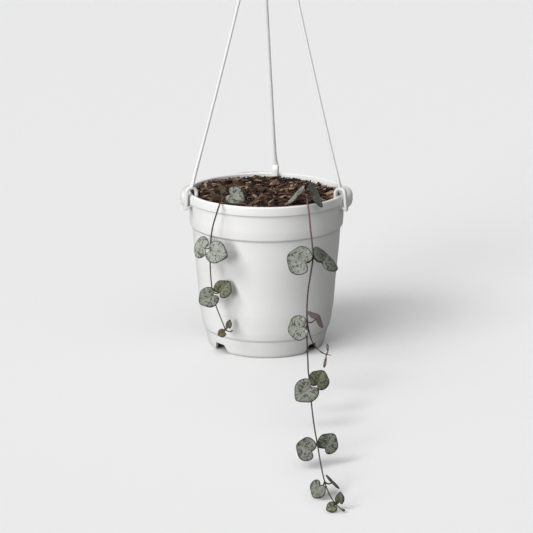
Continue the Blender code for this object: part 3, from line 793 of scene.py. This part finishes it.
def leaf_markings():
    """Node group: the heart leaf's colours worked out from the blade's own measurements."""
    tree = bpy.data.node_groups.new("heart_leaf_markings", "ShaderNodeTree")
    ports = tree.interface
    for name in ("Silver", "Green", "Margin", "Underside"):
        ports.new_socket(name, in_out="INPUT", socket_type="NodeSocketColor")
    ports.new_socket("Marking", in_out="INPUT", socket_type="NodeSocketFloat")
    ports.new_socket("Colour", in_out="OUTPUT", socket_type="NodeSocketColor")
    ports.new_socket("Roughness", in_out="OUTPUT", socket_type="NodeSocketFloat")
    ports.new_socket("Height", in_out="OUTPUT", socket_type="NodeSocketFloat")
    given = wire(tree, "NodeGroupInput").outputs

    def maths(operation, first, second=0.0):
        return wire(tree, "ShaderNodeMath", {"operation": operation}, i0=first, i1=second).outputs[0]

    def ease(value, low, high, start=0.0, end=1.0):
        return wire(tree, "ShaderNodeMapRange", {"interpolation_type": "SMOOTHSTEP"}, Value=value,
                    From_Min=low, From_Max=high, To_Min=start, To_Max=end).outputs["Result"]

    def speckle(vector, scale, detail=2.0, distortion=0.0):
        return wire(tree, "ShaderNodeTexNoise", Vector=vector, Scale=scale, Detail=detail,
                    Distortion=distortion).outputs["Fac"]

    def blend(share, first, second):
        return wire(tree, "ShaderNodeMix", {"data_type": "RGBA"}, i0=share, i6=first, i7=second).outputs[2]

    blade = measure(tree, "blade_mm", "Vector")
    ring = measure(tree, "ring_mm", "Vector")
    edge = measure(tree, "edge_mm")
    across = maths("ABSOLUTE", measure(tree, "across_mm"))
    along = measure(tree, "along_share")
    upper = measure(tree, "upper")

    length = ease(speckle(ring, 0.9, 1.0), 0.30, 0.70, 1.4, 4.0)
    inner = maths("SUBTRACT", length, edge)
    dash = maths("MULTIPLY", ease(speckle(ring, 0.62, 1.0), 0.50, 0.57), ease(inner, 0.0, 0.5))
    blotch = ease(speckle(blade, 0.42, 2.0, 0.6), 0.52, 0.56)
    blotch = maths("MULTIPLY", blotch, ease(edge, 2.0, 3.4))
    blotch = maths("MULTIPLY", blotch, ease(across, 0.7, 1.5))
    fleck = maths("MULTIPLY", ease(speckle(blade, 1.3, 2.0, 0.3), 0.60, 0.66), 0.55)
    rib = maths("MULTIPLY", ease(across, 0.10, 0.34, 1.0, 0.0), ease(along, 0.30, 0.42, 0.85, 0.0))
    marks = maths("MAXIMUM", maths("MAXIMUM", dash, blotch), maths("MAXIMUM", fleck, rib))
    marks = maths("MULTIPLY", marks, given["Marking"])
    cloud = ease(speckle(blade, 0.17, 2.0), 0.30, 0.70, 0.0, 0.32)
    grainy = ease(speckle(blade, 3.2, 2.0), 0.35, 0.65, 0.0, 0.16)
    face = blend(cloud, given["Silver"], given["Green"])
    face = blend(grainy, face, given["Green"])
    vein = maths("MULTIPLY", ease(across, 0.12, 0.40, 0.38, 0.0), ease(along, 0.25, 0.45, 0.0, 1.0))
    vein = maths("MULTIPLY", vein, maths("POWER", given["Marking"], 3.0))
    face = blend(vein, face, RIB_COLOUR)
    face = blend(marks, face, given["Green"])
    face = blend(ease(edge, 0.42, 1.0, 1.0, 0.0), face, given["Margin"])
    below = blend(ease(speckle(blade, 0.8, 2.0), 0.35, 0.7, 0.0, 0.5), given["Underside"], given["Margin"])
    colour = wire(tree, "ShaderNodeVectorMath", {"operation": "SCALE"},
                  i0=blend(ease(upper, 0.35, 0.65), below, face), Scale=measure(tree, "tone")).outputs[0]
    rough = ease(marks, 0.0, 1.0, 0.50, 0.42)
    height = maths("ADD", maths("MULTIPLY", grainy, 1.5), maths("MULTIPLY", marks, -0.35))
    wire(tree, "NodeGroupOutput", Colour=colour, Roughness=rough, Height=height)
    return tree


MARKINGS = leaf_markings()


def leaf_finish(name, silver, green, margin, underside, marking):
    """One age of leaf: its four colours and how strongly it is marked."""
    material, tree, shader = bare_material(name)
    group = wire(tree, "ShaderNodeGroup", {"node_tree": MARKINGS}, Silver=(*silver, 1.0), Green=(*green, 1.0),
                 Margin=(*margin, 1.0), Underside=(*underside, 1.0), Marking=marking)
    relief = wire(tree, "ShaderNodeBump", Strength=0.35, Distance=0.0003, Height=group.outputs["Height"])
    feed(tree, shader, Base_Color=group.outputs["Colour"], Roughness=group.outputs["Roughness"],
         Normal=relief.outputs["Normal"])
    return material


LEAF_FINISHES = {
    "silver": leaf_finish("leaf_silver", (0.42, 0.44, 0.375), (0.070, 0.082, 0.058), (0.040, 0.050, 0.034),
                          (0.26, 0.165, 0.17), 1.0),
    "sage": leaf_finish("leaf_sage", (0.30, 0.315, 0.255), (0.052, 0.060, 0.038), (0.026, 0.034, 0.020),
                        (0.24, 0.15, 0.155), 1.0),
    "green": leaf_finish("leaf_green", (0.21, 0.22, 0.13), (0.048, 0.056, 0.026), (0.024, 0.032, 0.013),
                         (0.16, 0.11, 0.09), 1.0),
    "dark": leaf_finish("leaf_dark", (0.13, 0.14, 0.115), (0.045, 0.052, 0.04), (0.028, 0.033, 0.028),
                        (0.13, 0.09, 0.09), 0.8),
    "bronze": leaf_finish("leaf_bronze", (0.15, 0.115, 0.042), (0.075, 0.055, 0.020), (0.05, 0.035, 0.018),
                          (0.12, 0.08, 0.045), 0.35),
}


def stalk_finish():
    """Thin leaf stalks, dull red-brown in uneven patches."""
    material, tree, shader = bare_material("leaf_stalk")
    spot = wire(tree, "ShaderNodeTexCoord").outputs["Object"]
    patch = wire(tree, "ShaderNodeTexNoise", Vector=spot, Scale=260.0, Detail=2.0)
    colour = ramp(tree, patch.outputs["Fac"], ((0.35, (0.055, 0.027, 0.026)), (0.68, (0.145, 0.070, 0.065))))
    feed(tree, shader, Base_Color=colour, Roughness=0.45)
    return material


STALK = stalk_finish()

# name: stem, point of its route that the stalk leaves, base where the stalk meets the blade (mm),
# swing (0 tip down, 90 tip left), pitch (tips the tip away), roll about the midrib, lean of the
# whole face, width (mm), length as a share of it, fold along the midrib, depth of tone, finish
LEAVES = {
    "right_1_left": ("right", 9, (33.2, -93.0, 98.1), 112, 30, 0, 16, 25.0, 1.0, 0.12, 0.54, "silver"),
    "right_1_right": ("right", 9, (46.4, -91.0, 97.8), -135, 62, 0, 16, 27.2, 1.0, 0.18, 0.54, "silver"),
    "right_2_left": ("right", 14, (30.2, -156.3, 62.8), 79, 35, 0, 25, 20.6, 1.0, 0.12, 0.74, "silver"),
    "right_2_right": ("right", 14, (40.0, -136.0, 62.2), -134, 75, 180, 16, 18.8, 1.0, 0.22, 0.95, "silver"),
    "right_3_left": ("right", 18, (34.4, -223.0, 35.7), 48, 0, 0, 34, 19.6, 1.0, 0.12, 0.76, "sage"),
    "right_3_right": ("right", 18, (39.4, -193.5, 26.6), -151, 25, 0, 16, 17.2, 1.0, 0.12, 0.7, "green"),
    "right_4_left": ("right", 22, (32.8, -302.0, 14.7), 108, 32, 0, 16, 17.6, 1.0, 0.12, 0.56, "sage"),
    "right_4_right": ("right", 22, (42.4, -295.0, 14.2), -143, 12, 0, 16, 15.8, 1.0, 0.12, 0.62, "sage"),
    "right_5_left": ("right", 24, (37.5, -354.0, 10.3), 32, 18, -30, 16, 13.4, 1.0, 0.12, 0.8, "sage"),
    "right_5_right": ("right", 24, (46.0, -347.0, 9.2), -135, 85, 0, 16, 13.8, 1.0, 0.08, 1.2, "dark"),
    "right_6_left": ("right", 26, (46.3, -376.4, 5.0), 60, 0, 0, 16, 7.8, 1.0, 0.12, 0.85, "green"),
    "right_6_right": ("right", 26, (49.8, -374.0, 6.6), -174, 0, 0, 16, 6.6, 1.3, 0.12, 0.52, "green"),
    "left_1_left": ("left", 10, (-52.2, -65.0, 103.3), 106, 48, 0, 16, 19.5, 1.0, 0.12, 1.02, "silver"),
    "left_1_right": ("left", 10, (-47.3, -69.5, 102.8), -69, -20, 0, 16, 19.5, 1.0, 0.12, 0.84, "silver"),
    "left_2_left": ("left", 13, (-45.4, -67.0, 62.8), 59, 8, 0, 16, 18.0, 1.0, 0.12, 0.93, "sage"),
    "left_2_right": ("left", 13, (-40.2, -64.5, 64.0), -137, 6, 0, 16, 16.0, 1.0, 0.12, 0.98, "green"),
    "left_3_left": ("left", 16, (-36.6, -65.6, 28.6), 66, 0, 0, 16, 7.6, 1.0, 0.12, 0.8, "bronze"),
    "left_3_right": ("left", 16, (-33.0, -62.8, 32.4), -168, 0, 0, 16, 5.4, 1.5, 0.12, 0.75, "bronze"),
    "soil_left_front": ("left", 3, (-31.2, -46.5, 146.2), -68, 0, 0, 16, 17.0, 1.0, 0.12, 0.8, "silver"),
    "soil_left_back": ("left", 3, (-39.6, -35.0, 146.6), -129, 40, 0, 16, 8.6, 1.1, 0.12, 0.8, "bronze"),
    "soil_left_side": ("left", 3, (-43.0, -42.0, 144.6), 38, 58, 180, 16, 12.0, 1.0, 0.12, 0.9, "bronze"),
    "soil_right_left": ("right", 3, (26.4, -47.5, 144.8), 132, 78, 0, 16, 23.0, 1.0, 0.12, 0.85, "silver"),
    "soil_right_right": ("right", 3, (39.1, -64.0, 149.6), -113, 66, 0, 24, 24.0, 1.0, 0.12, 1.1, "dark"),
    "shoot_up": ("shoot", 6, (49.8, -147.0, 38.2), 178, 20, 0, 16, 2.0, 3.9, 0.12, 2.0, "bronze"),
    "shoot_down": ("shoot", 6, (48.4, -149.2, 34.4), 10, 12, 0, 16, 2.3, 4.5, 0.12, 2.0, "bronze"),
}
YOUNG = ("shoot_up", "shoot_down")


def heart_reach(turn, young=False):
    """Edge of a heart blade from its middle, half the width as 1; turn is 0 at the tip.

    A blade that is still opening is a plain lens without the notch.
    """
    tip = 0.13 * math.exp(-(turn / 0.30) ** 2) - 0.055 * math.exp(-((abs(turn) - 0.74) / 0.32) ** 2)
    notch = 0.50 * math.exp(-((math.pi - abs(turn)) / 0.36) ** 2)
    return 1.0 + tip if young else 1.0 + tip - notch


def facing(swing, pitch, roll, lean):
    """Turn of a blade from its four plain angles, in degrees."""
    return (Matrix.Rotation(math.radians(-lean), 3, "X") @ Matrix.Rotation(math.radians(swing), 3, "Y")
            @ Matrix.Rotation(math.radians(pitch), 3, "X") @ Matrix.Rotation(math.radians(roll), 3, "Z"))


def grow_blade(form, width, length, fold, tone, turn, base, seed, young):
    """A plump heart blade: an upper and a lower skin that meet in a rounded margin."""
    half = width / 2
    drop = heart_reach(math.pi, young) * half * length
    layers = form.verts.layers
    blade, ring = layers.float_vector["blade_mm"], layers.float_vector["ring_mm"]
    edge, across, along = layers.float["edge_mm"], layers.float["across_mm"], layers.float["along_share"]
    upper, depth = layers.float["upper"], layers.float["tone"]
    thick = LEAF_THICK * min(1.0, 0.45 + width / 30.0)

    def spot(share, angle, side):
        reach = heart_reach(angle, young) * half
        x = math.sin(angle) * reach * share
        w = math.cos(angle) * reach * share * length
        z = -drop - w
        rise = -fold * (math.sqrt(x * x + 0.6) - 0.77)
        curl = MARGIN_CURL * half * share ** 4 + TIP_CURL * max(0.0, w / half) ** 3 * half
        furrow = GROOVE_DEPTH * math.exp(-(x / GROOVE_HALF) ** 2) * (1 - share ** 4)
        body = thick / 2 * math.sqrt(max(0.0, 1 - share ** 5))
        y = rise + curl + (-body + furrow if side > 0 else body + furrow * 0.4)
        point = turn @ Vector((x, y, z)) + Vector(base)
        vert = form.verts.new(point * MM)
        vert[blade] = (x, z, seed)
        vert[ring] = (math.sin(angle) * half, math.cos(angle) * half, seed * 1.7 + share * 0.9)
        vert[edge] = (1 - share) * reach
        vert[across] = x
        vert[along] = -z / (2 * half * length)
        vert[upper] = 1.0 if side > 0 else 0.0
        vert[depth] = tone
        return vert

    angles = [math.tau * index / LEAF_AROUND - math.pi for index in range(LEAF_AROUND)]
    rim = [spot(1.0, angle, 1) for angle in angles]
    for side in (1, -1):
        middle = spot(0.0, 0.0, side)
        inner = None
        for share in LEAF_RINGS:
            loop = rim if share == 1.0 else [spot(share, angle, side) for angle in angles]
            for index in range(LEAF_AROUND):
                after = (index + 1) % LEAF_AROUND
                if inner is None:
                    form.faces.new((middle, loop[index], loop[after]))
                else:
                    form.faces.new((inner[index], loop[index], loop[after], inner[after]))
            inner = loop
    bmesh.ops.recalc_face_normals(form, faces=form.faces)


def stalk_line(stem, joint, base, tip_way):
    """A leaf stalk: off the stem's side, a shallow droop, then into the blade's notch."""
    before, here, after = (Vector(point) for point in ROUTES[stem][joint - 1:joint + 2])
    along = (after - before).normalized()
    base = Vector(base)
    away = base - here
    away = (away - along * away.dot(along)).normalized()
    start = here + away * 0.3
    sag = Vector((0.0, 0.0, -STALK_SAG)) * (base - start).length
    middle = start.lerp(base, 0.5) + sag
    return (start, start.lerp(middle, 0.5) + sag * 0.25, middle, middle.lerp(base, 0.5) + sag * 0.1, base,
            base + tip_way * 1.4)


def build_leaf(name, seed, stem, joint, base, swing, pitch, roll, lean, width, length, fold, tone, finish):
    """One leaf: its blade, and the stalk that ends inside the stem."""
    turn = facing(swing, pitch, roll, lean)
    form = measured_form(("edge_mm", "across_mm", "along_share", "upper", "tone"), ("blade_mm", "ring_mm"))
    grow_blade(form, width, length, fold, tone, turn, base, seed * 11.3, name in YOUNG)
    count = len(form.faces)
    route = smooth_route(stalk_line(stem, joint, base, turn @ Vector((0, 0, -1))), 0.7)[0]
    last = len(route) - 1
    taper = STALK_START - STALK_END
    radii = [STALK_RADIUS * (STALK_START - taper * index / last) for index in range(last + 1)]
    radii[0] = STALK_RADIUS * STALK_FLARE
    radii[-1] = STALK_RADIUS * STALK_PIN
    swept(form, route, radii, 8)
    form.faces.ensure_lookup_table()
    for face in form.faces[count:]:
        face.material_index = 1
    bmesh.ops.recalc_face_normals(form, faces=form.faces)
    leaf = piece_from(f"heart_leaf_{name}", form, LEAF_FINISHES[finish])
    leaf.data.materials.append(STALK)
    set_down(leaf, "heart_leaf", f"leaf_{name}", angle=70.0)


for leaf_seed, (leaf_name, settings) in enumerate(LEAVES.items()):
    build_leaf(leaf_name, leaf_seed + 1, *settings)


# --------------------------------------------------------------- Floor, light
# A seamless pale floor, a broad soft key light from the left with a low and a high
# fill beside it, a very soft light from overhead and a little light from all round.
FLOOR_HALF = 14.0
FLOOR_SEEN = (0.80, 0.80, 0.80, 1.0)
FLOOR_BOUNCE = (0.28, 0.28, 0.28, 1.0)
# name: degrees from the front towards the right, degrees above the floor, strength, spread
LAMPS = {
    "key": (-55.0, 40.0, 1.20, 24.0),
    "low_fill": (-35.0, 12.0, 1.60, 24.0),
    "high_fill": (-35.0, 58.0, 0.39, 24.0),
    "overhead": (0.0, 88.0, 1.76, 120.0),
}
ROOM_LIGHT = 0.02


def build_floor():
    """The floor looks pale but gives back less light, so the object's shaded parts stay dark."""
    form = bmesh.new()
    bmesh.ops.create_grid(form, x_segments=2, y_segments=2, size=FLOOR_HALF)
    floor_material, tree, shader = bare_material("studio_floor")
    seen = wire(tree, "ShaderNodeLightPath").outputs["Is Camera Ray"]
    paint = wire(tree, "ShaderNodeMix", {"data_type": "RGBA"}, i0=seen, i6=FLOOR_BOUNCE, i7=FLOOR_SEEN)
    feed(tree, shader, Base_Color=paint.outputs[2], Roughness=0.9, Specular_IOR_Level=0.1)
    floor = piece_from("studio_floor", form, floor_material)


def lamp(name, azimuth, height, strength, spread):
    """A soft lamp, far off."""
    turn, lift = math.radians(azimuth), math.radians(height)
    toward = Vector((math.sin(turn) * math.cos(lift), -math.cos(turn) * math.cos(lift), math.sin(lift)))
    data = bpy.data.lights.new(name, "SUN")
    data.energy = strength
    data.angle = math.radians(spread)
    holder = bpy.data.objects.new(name, data)
    holder.rotation_euler = toward.to_track_quat("Z", "Y").to_euler()
    bpy.context.scene.collection.objects.link(holder)


def light_room():
    """A faint even white light from all round."""
    world = bpy.data.worlds.new("studio")
    world.use_nodes = True
    sky = world.node_tree.nodes["Background"].inputs
    sky["Color"].default_value = (1.0, 1.0, 1.0, 1.0)
    sky["Strength"].default_value = ROOM_LIGHT
    bpy.context.scene.world = world


build_floor()
for lamp_name, aim in LAMPS.items():
    lamp(lamp_name, *aim)
light_room()
